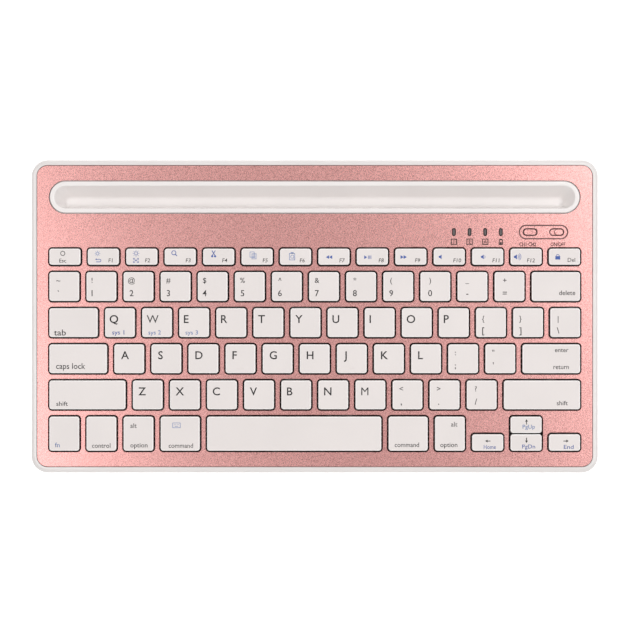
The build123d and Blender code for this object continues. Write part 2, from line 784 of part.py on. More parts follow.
with BuildPart() as charging_socket:
    # A bent metal shell, open to the right, with the contact tongue inside it
    socket_plane = facing_right(case_width / 2 - socket_inset, strip_y, component_bottom + socket_height / 2)
    with BuildSketch(socket_plane):
        RectangleRounded(socket_height, socket_width, 0.8)
    extrude(amount=socket_length)
    with BuildSketch(socket_plane):
        RectangleRounded(socket_height - 2 * socket_wall, socket_width - 2 * socket_wall, 0.8 - socket_wall)
    extrude(amount=socket_length - socket_wall, mode=Mode.SUBTRACT)
    with BuildSketch(socket_plane.offset(0.8)):
        Rectangle(socket_tongue_height, socket_width * 0.6)
    extrude(amount=socket_length - 0.8 - socket_wall / 2)
keep("charging_socket", charging_socket.part)

# ---------------------------------------------------------------- battery and its leads

battery_bottom = floor_top + stack_gap
battery_rear_y = battery_y + battery_depth / 2

with BuildPart() as battery_cell:
    with BuildSketch(Plane.XY.offset(battery_bottom)):
        with Locations((battery_x, battery_y)):
            Rectangle(battery_length, battery_depth)
    extrude(amount=battery_thickness)
    fillet(battery_cell.edges().filter_by(Axis.Y), battery_corner_radius)
keep("battery_cell", battery_cell.part)

lead_z = battery_bottom + battery_thickness / 2

with BuildPart() as battery_leads:
    for side in (0, 1):
        shift = side * lead_spacing
        end = deck.from_local_coords((board_left + 4, strip_y - lead_setback - shift,
                                      board_top + lead_diameter / 2 + stack_gap))
        start_x = board_left - lead_run + shift
        route = [(start_x, battery_rear_y + stack_gap, lead_z), (start_x, end.Y, lead_z),
                 (board_left - 4, end.Y, end.Z), (end.X, end.Y, end.Z)]
        with BuildLine() as lead_path:
            FilletPolyline(*route, radius=lead_bend)
        with BuildSketch(Plane(lead_path.line @ 0, z_dir=lead_path.line % 0)):
            Circle(lead_diameter / 2)
        sweep(path=lead_path.line)
keep("battery_leads", battery_leads.part)

# ---------------------------------------------------------------- feet and screws

with BuildPart() as rubber_feet:
    with BuildSketch(Plane.XY):
        with Locations(*foot_points):
            Circle(foot_radius)
    extrude(amount=foot_height + foot_recess - stack_gap)
    fillet(rubber_feet.faces().group_by(Axis.Z)[0].edges(), foot_edge_radius)
keep("rubber_feet", rubber_feet.part)

with BuildPart() as case_screws:
    head_bottom = foot_height + screw_recess - screw_head_height
    with BuildSketch(Plane.XY.offset(head_bottom)):
        with Locations(*screw_points):
            Circle(screw_head_radius)
    extrude(amount=screw_head_height - stack_gap)
    fillet(case_screws.faces().group_by(Axis.Z)[0].edges(), 0.2)
    with BuildSketch(Plane.XY.offset(head_bottom)):
        with Locations(*screw_points):
            Circle(screw_radius)
    extrude(amount=screw_head_height + screw_length)
    with BuildSketch(Plane.XY.offset(head_bottom)):
        with Locations(*screw_points):
            Rectangle(2 * screw_drive_radius, 0.35)
            Rectangle(0.35, 2 * screw_drive_radius)
    extrude(amount=screw_drive_depth, mode=Mode.SUBTRACT)
keep("case_screws", case_screws.part)

print(f"{len(made_parts)} nodes, case {case_width:.1f} x {footprint_depth:.1f} mm, "
      f"rear rim {deck_height(footprint_depth / 2):.1f} mm high, link angle {link_angle:.1f} degrees")
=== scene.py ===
import bpy
import bmesh
import json
from math import atan2, cos, pi, radians, sin
from mathutils import Matrix, Vector

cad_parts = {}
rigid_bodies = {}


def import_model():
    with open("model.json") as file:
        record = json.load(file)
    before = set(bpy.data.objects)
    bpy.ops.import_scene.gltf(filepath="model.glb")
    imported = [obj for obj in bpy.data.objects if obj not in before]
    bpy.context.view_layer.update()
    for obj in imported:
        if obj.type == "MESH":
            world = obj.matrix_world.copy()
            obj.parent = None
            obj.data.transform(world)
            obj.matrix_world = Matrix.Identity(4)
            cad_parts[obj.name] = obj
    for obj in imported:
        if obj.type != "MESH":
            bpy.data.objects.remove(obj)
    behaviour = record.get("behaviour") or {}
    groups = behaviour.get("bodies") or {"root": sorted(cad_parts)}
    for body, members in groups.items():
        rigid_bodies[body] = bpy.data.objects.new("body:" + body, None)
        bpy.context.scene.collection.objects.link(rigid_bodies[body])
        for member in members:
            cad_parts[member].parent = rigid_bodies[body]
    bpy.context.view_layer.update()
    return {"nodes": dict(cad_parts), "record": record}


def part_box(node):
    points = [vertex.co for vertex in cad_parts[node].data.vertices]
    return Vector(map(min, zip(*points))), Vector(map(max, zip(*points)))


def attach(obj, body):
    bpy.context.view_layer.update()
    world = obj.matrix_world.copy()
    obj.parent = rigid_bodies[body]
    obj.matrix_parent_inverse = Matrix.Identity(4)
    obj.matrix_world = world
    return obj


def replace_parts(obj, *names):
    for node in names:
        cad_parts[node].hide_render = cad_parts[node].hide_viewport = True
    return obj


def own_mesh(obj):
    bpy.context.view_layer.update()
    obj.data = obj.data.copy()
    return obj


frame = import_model()
nodes = frame["nodes"]
bodies = frame["record"]["behaviour"]["bodies"]
bodyOf = {node: body for body, members in bodies.items() for node in members}
slotOf = {row["node"]: row["material_slot"] for row in frame["record"]["subparts"]}
mm = 0.001

# ---- the deck: the sloping plane that the cover's top face lies in

slotMount = next(row for row in frame["record"]["mounts"] if row["name"] == "tablet_slot")
deckNormal = Vector(slotMount["axis"]).normalized()
lipRise = 0.6 * mm
deckHeight = (Vector(slotMount["pos_m"]) - deckNormal * lipRise).dot(deckNormal) / deckNormal.z
deckTilt = atan2(-deckNormal.y, deckNormal.z)
deckToRow = Matrix.Translation((0, 0, deckHeight)) @ Matrix.Rotation(deckTilt, 4, "X")
# millimetres up the deck from its middle to the row of indicators and switches
stripRow = 43.1


def onDeck(x, y, z=0.0):
    # a deck point in millimetres, as a row-frame point in metres
    return deckToRow @ Vector((x * mm, y * mm, z * mm))


# ---- shader maths as plain sums


class Signal:
    # one output socket; sums on it add Math nodes to its finish
    def __init__(self, finish, socket):
        self.finish = finish
        self.socket = socket

    def sum(self, kind, first, second):
        return self.finish.sum(kind, first, second)

    def __add__(self, other):
        return self.sum("ADD", self, other)

    def __radd__(self, other):
        return self.sum("ADD", other, self)

    def __sub__(self, other):
        return self.sum("SUBTRACT", self, other)

    def __mul__(self, other):
        return self.sum("MULTIPLY", self, other)

    def __truediv__(self, other):
        return self.sum("DIVIDE", self, other)

    def __pow__(self, other):
        return self.sum("POWER", self, other)


class Finish:
    # one material and the nodes that make it
    def __init__(self, name, **shader):
        self.material = bpy.data.materials.new(name)
        self.material.use_nodes = True
        self.tree = self.material.node_tree
        self.shader = next(n for n in self.tree.nodes if n.type == "BSDF_PRINCIPLED")
        self.place = None
        for socket, value in shader.items():
            self.drive(socket.replace("_", " "), value)

    def drive(self, socket, value):
        target = self.shader.inputs[socket]
        if isinstance(value, Signal):
            self.tree.links.new(value.socket, target)
        else:
            target.default_value = (*value, 1) if isinstance(value, tuple) and len(value) == 3 else value

    def node(self, kind, settings=None, values=None, output=0):
        made = self.tree.nodes.new(kind)
        for name, value in (settings or {}).items():
            setattr(made, name, value)
        for name, value in (values or {}).items():
            if isinstance(value, Signal):
                self.tree.links.new(value.socket, made.inputs[name])
            elif value is not None:
                made.inputs[name].default_value = (*value, 1) if isinstance(value, tuple) and len(value) == 3 \
                    and made.inputs[name].type == "RGBA" else value
        return Signal(self, made.outputs[output])

    def sum(self, kind, first, second):
        return self.node("ShaderNodeMath", {"operation": kind}, {0: first, 1: second})

    def spot(self):
        # object coordinates, in metres
        if self.place is None:
            self.place = self.node("ShaderNodeTexCoord", output="Object")
        return self.place

    def grain(self, size, detail=2.0, stretch=(1, 1, 1)):
        # noise whose lumps are about size millimetres across
        place = self.node("ShaderNodeMapping", None, {"Vector": self.spot(), "Scale": stretch})
        return self.node("ShaderNodeTexNoise", None, {"Vector": place, "Scale": 1 / (size * mm), "Detail": detail})

    def flakes(self, size):
        # a random grey for each cell about size millimetres across
        cells = self.node("ShaderNodeTexVoronoi", None, {"Vector": self.spot(), "Scale": 1 / (size * mm)}, "Color")
        return self.node("ShaderNodeSeparateColor", None, {0: cells})

    def blendOf(self, factor, first, second):
        made = self.tree.nodes.new("ShaderNodeMix")
        made.data_type = "RGBA"
        for index, value in ((0, factor), (6, first), (7, second)):
            if isinstance(value, Signal):
                self.tree.links.new(value.socket, made.inputs[index])
            else:
                made.inputs[index].default_value = (*value, 1) if isinstance(value, tuple) else value
        return Signal(self, made.outputs[2])

    def band(self, value, low, high):
        # 0 below low, 1 above high
        return self.node("ShaderNodeMapRange", {"clamp": True}, {"Value": value, "From Min": low, "From Max": high})

    def facing(self):
        # 1 where the surface faces along the deck's normal, 0 where it is square to it
        normal = self.node("ShaderNodeNewGeometry", output="Normal")
        return self.node("ShaderNodeVectorMath", {"operation": "DOT_PRODUCT"},
                         {0: normal, 1: tuple(deckNormal)}, "Value")

    def alongDeck(self):
        # millimetres up the slope from the deck's middle
        up = self.node("ShaderNodeVectorMath", {"operation": "DOT_PRODUCT"},
                       {0: self.spot(), 1: (0, cos(deckTilt), sin(deckTilt))}, "Value")
        return up / mm - deckHeight * sin(deckTilt) / mm

    def slotted(self, x, row, half):
        # millimetres from a line along X that is 2 * half long, with its middle at x and row on the deck
        across = self.node("ShaderNodeSeparateXYZ", None, {0: self.spot()}) / mm - x
        beyond = self.sum("MAXIMUM", self.sum("ABSOLUTE", across, 0.0) - half, 0.0)
        return (beyond ** 2 + (self.alongDeck() - row) ** 2) ** 0.5

    def relief(self, height, depth, strength=1.0):
        # a bump of depth millimetres
        bump = self.node("ShaderNodeBump", None, {"Strength": strength, "Distance": depth * mm, "Height": height})
        self.drive("Normal", bump)


def moulded(name, colour, roughness, texture=0.4, depth=0.01, shade=0.04, **shader):
    # plain moulded plastic or rubber: a fine texture and a slow drift of shade
    finish = Finish(name, Roughness=roughness, **shader)
    drift = finish.grain(30, 1.0)
    darker = tuple(c * (1 - shade * 2) for c in colour)
    finish.drive("Base Color", finish.blendOf(finish.band(drift, 0.3, 0.7), darker, colour))
    fine = finish.grain(texture, 3.0)
    finish.drive("Roughness", roughness + (fine - 0.5) * 0.12)
    finish.relief(fine, depth)
    return finish.material


# edge is the colour of painted shade on the cover, not a colour of the coat itself
coverLook = {"light": (0.87, 0.435, 0.41), "dark": (0.60, 0.25, 0.235), "edge": (0.085, 0.035, 0.033),
             "roughness": 0.30, "flake": 0.22, "lump": 0.6,
             "outlines": ((117.3, 8.95, 3.4), (110.5, 1.85, 1.65), (124.1, 1.85, 1.65))}


def coverFinish():
    # satin rose-gold coat: fine flakes in a speckled metallic ground, with painted shade (the dark edge colour) where
    # the edges turn away and in rings round the switches
    look = coverLook
    finish = Finish("roseGoldCoat", Metallic=0.85, Coat_Weight=0.7, Coat_Roughness=0.28, Coat_IOR=1.8)
    flake = finish.flakes(look["flake"])
    lump = finish.grain(look["lump"], 3.0)
    tone = finish.band(flake * 0.4 + lump * 0.6, 0.28, 0.74)
    ground = finish.blendOf(tone, look["dark"], look["light"])
    # painted shade: a dark ring round the switch recess and round each of its two switch openings
    for x, half, radius in look["outlines"]:
        off = finish.sum("ABSOLUTE", finish.slotted(x, stripRow, half) - radius, 0.0)
        ground = finish.blendOf(finish.band(off, 0.52, 0.22) * 0.9, ground, look["edge"])
    # painted shade: faces turned from the deck's normal, such as the chamfers round the openings, take the dark edge
    # colour
    away = finish.band(finish.facing(), 0.97, 0.80)
    finish.drive("Base Color", finish.blendOf(away, ground, look["edge"]))
    finish.drive("Roughness", look["roughness"] + (flake - 0.5) * 0.12 + away * 0.3)
    finish.relief(flake * 0.5 + lump * 0.5, 0.010, 0.45)
    return finish.material


# edge is a painted highlight on the rounded top edges; skirt is painted shade below the deck
capLook = {"top": (0.785, 0.733, 0.715), "edge": (1.0, 0.985, 0.97), "skirt": (0.12, 0.08, 0.08), "roughness": 0.42}


def capFinish():
    # satin white cap with a painted highlight on its rounded edges, and painted shade on its skirt where it sinks into
    # its opening
    look = capLook
    finish = Finish("capWhite", Specular_IOR_Level=0.4)
    turned = finish.facing()
    # painted highlight: the rounded edges take the brighter edge colour
    edge = finish.band(turned, 0.995, 0.93) * finish.band(turned, 0.05, 0.35)
    drift = finish.grain(25, 1.0)
    top = finish.blendOf(finish.band(drift, 0.3, 0.7), tuple(c * 0.965 for c in look["top"]), look["top"])
    top = finish.blendOf(edge, top, look["edge"])
    # painted shade: below half a millimetre above the deck the cap's skirt takes the dark skirt colour
    above = finish.node("ShaderNodeVectorMath", {"operation": "DOT_PRODUCT"},
                        {0: finish.spot(), 1: tuple(deckNormal)}, "Value") / mm - deckHeight * cos(deckTilt) / mm
    finish.drive("Base Color", finish.blendOf(finish.band(above, 0.5, 0.0), top, look["skirt"]))
    fine = finish.grain(0.16, 2.0)
    finish.drive("Roughness", look["roughness"] + (fine - 0.5) * 0.15)
    finish.relief(fine, 0.006)
    return finish.material


def steel(name, colour, roughness, stretch=(1, 12, 1)):
    # rolled or plated metal with fine lines along one way
    finish = Finish(name, Metallic=1.0)
    lines = finish.grain(1.2, 3.0, stretch)
    finish.drive("Base Color", finish.blendOf(lines, tuple(c * 0.85 for c in colour), colour))
    finish.drive("Roughness", roughness + (lines - 0.5) * 0.2)
    finish.relief(lines, 0.006)
    return finish.material


def boardFinish():
    # green solder mask over copper tracks, with the tracks just showing
    finish = Finish("solderMask", Coat_Weight=0.4)
    tracks = finish.node("ShaderNodeTexWave", {"wave_type": "BANDS", "bands_direction": "DIAGONAL"},
                         {"Vector": finish.spot(), "Scale": 330.0, "Distortion": 3.0, "Detail": 1.0}, "Fac")
    shown = finish.band(tracks, 0.72, 0.8)
    finish.drive("Base Color", finish.blendOf(shown, (0.012, 0.10, 0.045), (0.03, 0.21, 0.09)))
    finish.drive("Roughness", 0.35 + shown * 0.1)
    finish.relief(shown, 0.03)
    return finish.material


def filmFinish():
    # dark polyester with printed silver tracks
    finish = Finish("silverPrintFilm", Specular_IOR_Level=0.5)
    tracks = finish.node("ShaderNodeTexWave", {"wave_type": "BANDS", "bands_direction": "Y"},
                         {"Vector": finish.spot(), "Scale": 110.0, "Distortion": 2.0, "Detail": 0.0}, "Fac")
    silver = finish.band(tracks, 0.86, 0.9)
    finish.drive("Base Color", finish.blendOf(silver, (0.020, 0.014, 0.014), (0.50, 0.50, 0.49)))
    finish.drive("Roughness", 0.22 + silver * 0.25)
    finish.relief(silver, 0.02)
    return finish.material


def foilFinish():
    # battery pouch: crumpled bright foil
    finish = Finish("pouchFoil", Metallic=1.0)
    creases = finish.grain(5, 4.0)
    finish.drive("Base Color", finish.blendOf(creases, (0.50, 0.51, 0.53), (0.74, 0.75, 0.77)))
    finish.drive("Roughness", 0.25 + creases * 0.2)
    finish.relief(creases, 0.15, 0.5)
    return finish.material


# middle is the colour of a painted reflection in each window; rim is the lens's own dark
lensLook = {"firstX": 71.4, "pitch": 8.0, "half": 1.1, "inner": 0.15, "outer": 0.62,
            "rim": (0.010, 0.006, 0.007), "middle": (0.16, 0.145, 0.145)}


def lensFinish():
    # smoked windows, each dark at its rim, with a painted reflection that makes its middle lighter
    look = lensLook
    finish = Finish("smokedLens", Roughness=0.15, Coat_Weight=0.4)
    parts = finish.node("ShaderNodeSeparateXYZ", None, {0: finish.spot()})
    across = finish.sum("PINGPONG", parts / mm - (look["firstX"] - look["pitch"] * 10), look["pitch"] / 2)
    along = finish.alongDeck() - stripRow
    beyond = finish.sum("MAXIMUM", finish.sum("ABSOLUTE", along, 0.0) - look["half"], 0.0)
    out = (across ** 2 + beyond ** 2) ** 0.5
    cloud = finish.grain(0.6, 2.0)
    rim = finish.band(out + (cloud - 0.5) * 0.2, look["inner"], look["outer"])
    # painted reflection: the middle of each window is lighter than its dark rim
    finish.drive("Base Color", finish.blendOf(rim, look["middle"], look["rim"]))
    return finish.material


def inkFinish(name, colour, wear=0.25):
    # printed ink, a little thin in places
    finish = Finish(name, Roughness=0.5)
    thin = finish.band(finish.grain(0.5, 3.0), 0.55, 0.8)
    finish.drive("Base Color", finish.blendOf(thin * wear, colour, tuple(c * 0.5 + 0.35 for c in colour)))
    return finish.material


finishes = {
    "cover_metallic": coverFinish(),
    "key_white": capFinish(),
    "white_case": moulded("caseWhite", (0.78, 0.745, 0.73), 0.30, 0.5, 0.006, 0.015, Coat_Weight=0.3),
    "white_gloss": moulded("slotWhite", (0.87, 0.83, 0.815), 0.22, 2.5, 0.02, 0.015, Coat_Weight=0.5),
    "foot_rubber": moulded("footRubber", (0.52, 0.50, 0.49), 0.75, 0.3, 0.03, 0.06),
    "dome_rubber": moulded("domeSilicone", (0.72, 0.73, 0.70), 0.45, 0.4, 0.02, 0.04, Subsurface_Weight=0.15),
    "link_plastic": moulded("linkWhite", (0.70, 0.70, 0.68), 0.40, 0.3, 0.01, 0.04),
    "component_black": moulded("packageBlack", (0.022, 0.022, 0.025), 0.55, 0.2, 0.01, 0.1),
    "lead_red": moulded("leadRed", (0.42, 0.02, 0.015), 0.40, 0.3, 0.01, 0.1),
    "plate_steel": steel("plateSteel", (0.60, 0.60, 0.60), 0.35, (1, 14, 1)),
    "bar_steel": steel("barSteel", (0.62, 0.62, 0.61), 0.28, (14, 1, 1)),
    "socket_metal": steel("socketNickel", (0.66, 0.66, 0.66), 0.25, (1, 8, 1)),
    "switch_metal": steel("switchTin", (0.60, 0.60, 0.61), 0.30, (8, 1, 1)),
    "screw_steel": steel("screwZinc", (0.48, 0.48, 0.49), 0.35, (1, 1, 1)),
    "board_green": boardFinish(),
    "membrane_film": filmFinish(),
    "battery_foil": foilFinish(),
    "lens_dark": lensFinish(),
}
inkBlack = inkFinish("inkBlack", (0.010, 0.009, 0.010), 0.12)
inkGrey = inkFinish("inkGrey", (0.022, 0.020, 0.022), 0.10)
inkBlue = inkFinish("inkBlue", (0.035, 0.09, 0.36))
inkPaleBlue = inkFinish("inkPaleBlue", (0.14, 0.22, 0.46))
inkBrown = inkFinish("inkBrown", (0.018, 0.006, 0.006), 0.05)
print("finishes made")

# ---- CAD pieces: the moulded ones as smooth copies, the rest with their own finish


def linked(name, data):
    made = bpy.data.objects.new(name, data)
    bpy.context.scene.collection.objects.link(made)
    return made


def meshOf(holder):
    # the object's evaluated shape as a plain mesh; the object itself goes
    bpy.context.view_layer.update()
    mesh = bpy.data.meshes.new_from_object(holder.evaluated_get(bpy.context.evaluated_depsgraph_get()))
    bpy.data.objects.remove(holder)
    return mesh


def meshFrom(made, name):
    mesh = bpy.data.meshes.new(name)
    made.to_mesh(mesh)
    made.free()
    return mesh


def pieceFrom(name, mesh, body, finish=None):
    made = linked(name, mesh)
    if finish:
        mesh.materials.clear()
        mesh.materials.append(finish)
    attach(made, body)
    return made


def shadeCurved(mesh, sharpFrom, flatFrom=3.0):
    # smooth shading up to sharp edges; a flat region over flatFrom square millimetres keeps its own flat normal
    made = bmesh.new()
    made.from_mesh(mesh)
    made.faces.ensure_lookup_table()
    region, areas = {}, []
    for first in made.faces:
        if first in region:
            continue
        region[first] = len(areas)
        area, waiting = 0.0, [first]
        while waiting:
            face = waiting.pop()
            area += face.calc_area()
            for edge in face.edges:
                for other in edge.link_faces:
                    if other not in region and other.normal.dot(first.normal) > 0.99998:
                        region[other] = len(areas)
                        waiting.append(other)
        areas.append(area / mm ** 2)
    limit = cos(radians(sharpFrom))
    for face in made.faces:
        face.smooth = True
    for edge in made.edges:
        if len(edge.link_faces) == 2:
            a, b = edge.link_faces
            flat = region[a] != region[b] and max(areas[region[a]], areas[region[b]]) > flatFrom
            edge.smooth = not flat and a.normal.dot(b.normal) > limit
        else:
            edge.smooth = False
    made.to_mesh(mesh)
    made.free()
    return mesh


def smoothCopy(node, name, sharpFrom=34.0):
    # the same shape with joined corners, so that its rounded edges shade as curves
    mesh = nodes[node].data.copy()
    made = bmesh.new()
    made.from_mesh(mesh)
    bmesh.ops.remove_doubles(made, verts=made.verts, dist=0.002 * mm)
    bmesh.ops.dissolve_degenerate(made, edges=made.edges, dist=0.001 * mm)
    made.to_mesh(mesh)
    made.free()
    if "custom_normal" in mesh.attributes:
        mesh.attributes.remove(mesh.attributes["custom_normal"])
    mesh = shadeCurved(mesh, sharpFrom)
    piece = pieceFrom(name, mesh, bodyOf[node], finishes[slotOf[node]])
    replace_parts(piece, node)
    return piece


for node, name in (("bottom_case", "whiteTray"), ("top_cover", "coverPlate"), ("slot_liner", "slotTrough"),
                   ("rubber_feet", "feet"), ("indicator_lenses", "indicatorWindows"),
                   ("channel_switch_knob", "channelKnob"), ("power_switch_knob", "powerKnob")):
    smoothCopy(node, name)
for node in bodyOf:
    if slotOf[node] == "key_white":
        smoothCopy(node, "cap_" + node.replace("key_", ""))
for node, piece in nodes.items():
    piece.data.materials.clear()
    piece.data.materials.append(finishes[slotOf[node]])
print("CAD pieces finished")

# ---- key layout, as in the CAD: centre and size of every cap on the deck, in millimetres

layout = {"pitchX": 19.0, "pitchY": 18.5, "gap": 3.8, "across": 14.5, "functionDepth": 8.2, "bottomDepth": 17.4,
          "arrowSplit": 0.7, "coverDepth": 154.6, "head": 42.8}
fieldLeft = -(layout["across"] * layout["pitchX"] - layout["gap"]) / 2
fieldRear = layout["coverDepth"] / 2 - layout["head"]
numberRear = fieldRear - layout["functionDepth"] - layout["gap"]
bottomRear = numberRear - 4 * layout["pitchY"]
arrowUnits = layout["across"] / 14
spaceUnits = layout["across"] - 6.5 - 3 * arrowUnits
arrowDepth = (layout["bottomDepth"] - layout["arrowSplit"]) / 2
caps = {}


def placeCap(name, body, left, rear, units, depth):
    width = units * layout["pitchX"] - layout["gap"]
    caps[name] = {"body": body, "left": left, "rear": rear, "width": width, "depth": depth,
                  "x": left + width / 2, "y": rear - depth / 2, "units": units}


def placeRow(names, rear, depth, body=None):
    left = fieldLeft
    for entry in names:
        name, units = entry if isinstance(entry, tuple) else (entry, 1.0)
        rides = body or groupOf.get(name, "key_" + name)
        placeCap(name, rides, left, rear, units, depth)
        left += units * layout["pitchX"]


functionNames = ["escape", *[f"f{number}" for number in range(1, 13)], "lock"]
numberNames = ["backquote", *"1234567890", "minus", "equals"]
punctuation = ["left_bracket", "right_bracket", "backslash", "semicolon", "quote", "comma", "period", "slash"]
modifiers = ["fn", "control", "left_option", "left_command", "right_command", "right_option"]
groupOf = {name: "number_keys" for name in numberNames}
groupOf.update({name: "punctuation_keys" for name in punctuation})
groupOf.update({name: "modifier_keys" for name in modifiers})
placeRow([(name, arrowUnits) for name in functionNames], fieldRear, layout["functionDepth"], "function_keys")
rows = [
    [*numberNames, ("delete", 1.5)],
    [("tab", 1.5), *"qwertyuiop", *punctuation[:3]],
    [("caps_lock", 1.75), *"asdfghjkl", *punctuation[3:5], ("return", 1.75)],
    [("left_shift", 2.25), *"zxcvbnm", *punctuation[5:], ("right_shift", 2.25)],
]
for index, row in enumerate(rows):
    placeRow(row, numberRear - index * layout["pitchY"], layout["pitchY"] - layout["gap"])
placeRow(["fn", "control", "left_option", ("left_command", 1.25), ("space", spaceUnits), ("right_command", 1.25),
          "right_option"], bottomRear, layout["bottomDepth"])
arrowLeft = fieldLeft + (layout["across"] - 3 * arrowUnits) * layout["pitchX"]
lowRear = bottomRear - arrowDepth - layout["arrowSplit"]
for column, name in enumerate(["left_arrow", "down_arrow", "right_arrow"]):
    placeCap(name, "key_" + name, arrowLeft + column * arrowUnits * layout["pitchX"], lowRear, arrowUnits, arrowDepth)
placeCap("up_arrow", "key_up_arrow", arrowLeft + arrowUnits * layout["pitchX"], bottomRear, arrowUnits, arrowDepth)
keyBodies = sorted({cap["body"] for cap in caps.values()})

# ---- printed marks: words from the built-in font, and small icons drawn from strokes

ink = {"lift": 0.004, "thickness": 0.02, "capTop": 2.0, "resolution": 3, "bold": 0.004}
inks = [inkBlack, inkGrey, inkBlue, inkPaleBlue, inkBrown]
black, grey, blue, paleBlue, brown = range(5)


def wordMesh(text, bold=0.0):
    # the outline of a word as filled faces, its first letter starting at x 0
    curve = bpy.data.curves.new("word", "FONT")
    curve.body = text
    curve.resolution_u = ink["resolution"]
    curve.offset = bold
    mesh = meshOf(linked("word", curve))
    bpy.data.curves.remove(curve)
    return mesh


tallLetter = wordMesh("H")
capRatio = max(v.co.y for v in tallLetter.vertices)


class Print:
    # collects the marks of one body: each is a thin slab on the surface
    def __init__(self, surface):
        self.made = bmesh.new()
        self.surface = surface

    def slab(self, loop, colour):
        # loop is a list of x, y in millimetres, anticlockwise from above
        high = self.surface + ink["lift"] + ink["thickness"]
        low = high - ink["thickness"]
        upper = [self.made.verts.new(onDeck(x, y, high)) for x, y in loop]
        lower = [self.made.verts.new(onDeck(x, y, low)) for x, y in loop]
        faces = [self.made.faces.new(upper), self.made.faces.new(lower[::-1])]
        for i in range(len(loop)):
            j = (i + 1) % len(loop)
            faces.append(self.made.faces.new((lower[i], lower[j], upper[j], upper[i])))
        for face in faces:
            face.material_index = colour

    def word(self, text, x, y, height, colour=black, align="left", width=None, slant=0.0, bold=None):
        # baseline at y; height is that of a capital letter; width squeezes or stretches the word
        mesh = wordMesh(text, bold=ink["bold"] if bold is None else bold)
        scale = height / capRatio
        xs = [v.co.x for v in mesh.vertices]
        low, high = min(xs), max(xs)
        stretch = width / (high - low) if width else scale
        full = (high - low) * stretch
        start = {"left": x, "centre": x - full / 2, "right": x - full}[align]
        part = bmesh.new()
        part.from_mesh(mesh)
        bpy.data.meshes.remove(mesh)
        bmesh.ops.remove_doubles(part, verts=part.verts, dist=1e-5)
        top = self.surface + ink["lift"] + ink["thickness"]
        flat = list(part.faces)
        for face in flat:
            if face.normal.z < 0:
                face.normal_flip()
        grown = bmesh.ops.extrude_face_region(part, geom=flat, use_keep_orig=True)
        raised = {v for v in grown["geom"] if isinstance(v, bmesh.types.BMVert)}
        for face in flat:
            face.normal_flip()
        for v in part.verts:
            across = (v.co.x - low) * stretch + slant * v.co.y * scale
            level = top if v in raised else top - ink["thickness"]
            v.co = onDeck(start + across, y + v.co.y * scale, level)
        for face in part.faces:
            face.material_index = colour
        bmesh.ops.recalc_face_normals(part, faces=part.faces)
        temporary = meshFrom(part, "part")
        self.made.from_mesh(temporary)
        bpy.data.meshes.remove(temporary)

    def stroke(self, points, width, colour, closed=False):
        # a line of even width through points, one slab for each run
        ends = list(zip(points, points[1:] + points[:1])) if closed else list(zip(points, points[1:]))
        for (ax, ay), (bx, by) in ends:
            along = Vector((bx - ax, by - ay)).normalized() * (width / 2)
            side = Vector((-along.y, along.x))
            self.slab([(ax - along.x - side.x, ay - along.y - side.y), (bx + along.x - side.x, by + along.y - side.y),
                       (bx + along.x + side.x, by + along.y + side.y), (ax - along.x + side.x, ay - along.y + side.y)],
                      colour)

    def arc(self, x, y, radius, start, end, width, colour, steps=14):
        # a ring, or a part of one, between two angles in degrees
        angles = [radians(start + (end - start) * i / steps) for i in range(steps + 1)]
        for a, b in zip(angles, angles[1:]):
            inner, outer = radius - width / 2, radius + width / 2
            self.slab([(x + inner * cos(a), y + inner * sin(a)), (x + outer * cos(a), y + outer * sin(a)),
                       (x + outer * cos(b), y + outer * sin(b)), (x + inner * cos(b), y + inner * sin(b))], colour)

    def disc(self, x, y, radius, colour, steps=16):
        self.slab([(x + radius * cos(2 * pi * i / steps), y + radius * sin(2 * pi * i / steps)) for i in range(steps)],
                  colour)

    def box(self, x, y, width, depth, colour):
        self.slab([(x - width / 2, y - depth / 2), (x + width / 2, y - depth / 2), (x + width / 2, y + depth / 2),
                   (x - width / 2, y + depth / 2)], colour)

    def frameBox(self, x, y, width, depth, line, colour):
        w, d = width / 2 - line / 2, depth / 2 - line / 2
        self.stroke([(x - w, y - d), (x + w, y - d), (x + w, y + d), (x - w, y + d)], line, colour, closed=True)

    def triangle(self, x, y, width, depth, turn, colour):
        # points along turn degrees; x, y is its middle
        t = radians(turn)
        loop = [(-width / 2, -depth / 2), (width / 2, 0), (-width / 2, depth / 2)]
        self.slab([(x + a * cos(t) - b * sin(t), y + a * sin(t) + b * cos(t)) for a, b in loop], colour)

    def finish(self, name, body):
        mesh = meshFrom(self.made, name)
        for material in inks:
            mesh.materials.append(material)
        return pieceFrom(name, mesh, body)


prints = {body: Print(ink["capTop"]) for body in keyBodies}


def mark(name):
    # the print of a cap's body, and a way to count from the cap's left and rear edges
    cap = caps[name]
    return prints[cap["body"]], lambda right, down: (cap["left"] + right, cap["rear"] - down)


letters = {"height": 3.95, "down": 7.5, "upper": 2.4, "home": 3.5, "lower": 2.9, "bold": 0.01}
for row, names in (("upper", "qwertyuiop"), ("home", "asdfghjkl"), ("lower", "zxcvbnm")):
    for name in names:
        sheet, at = mark(name)
        sheet.word(name.upper(), *at(letters[row], letters["down"]), letters["height"],
                   bold=0.0 if name in "mw" else letters["bold"])

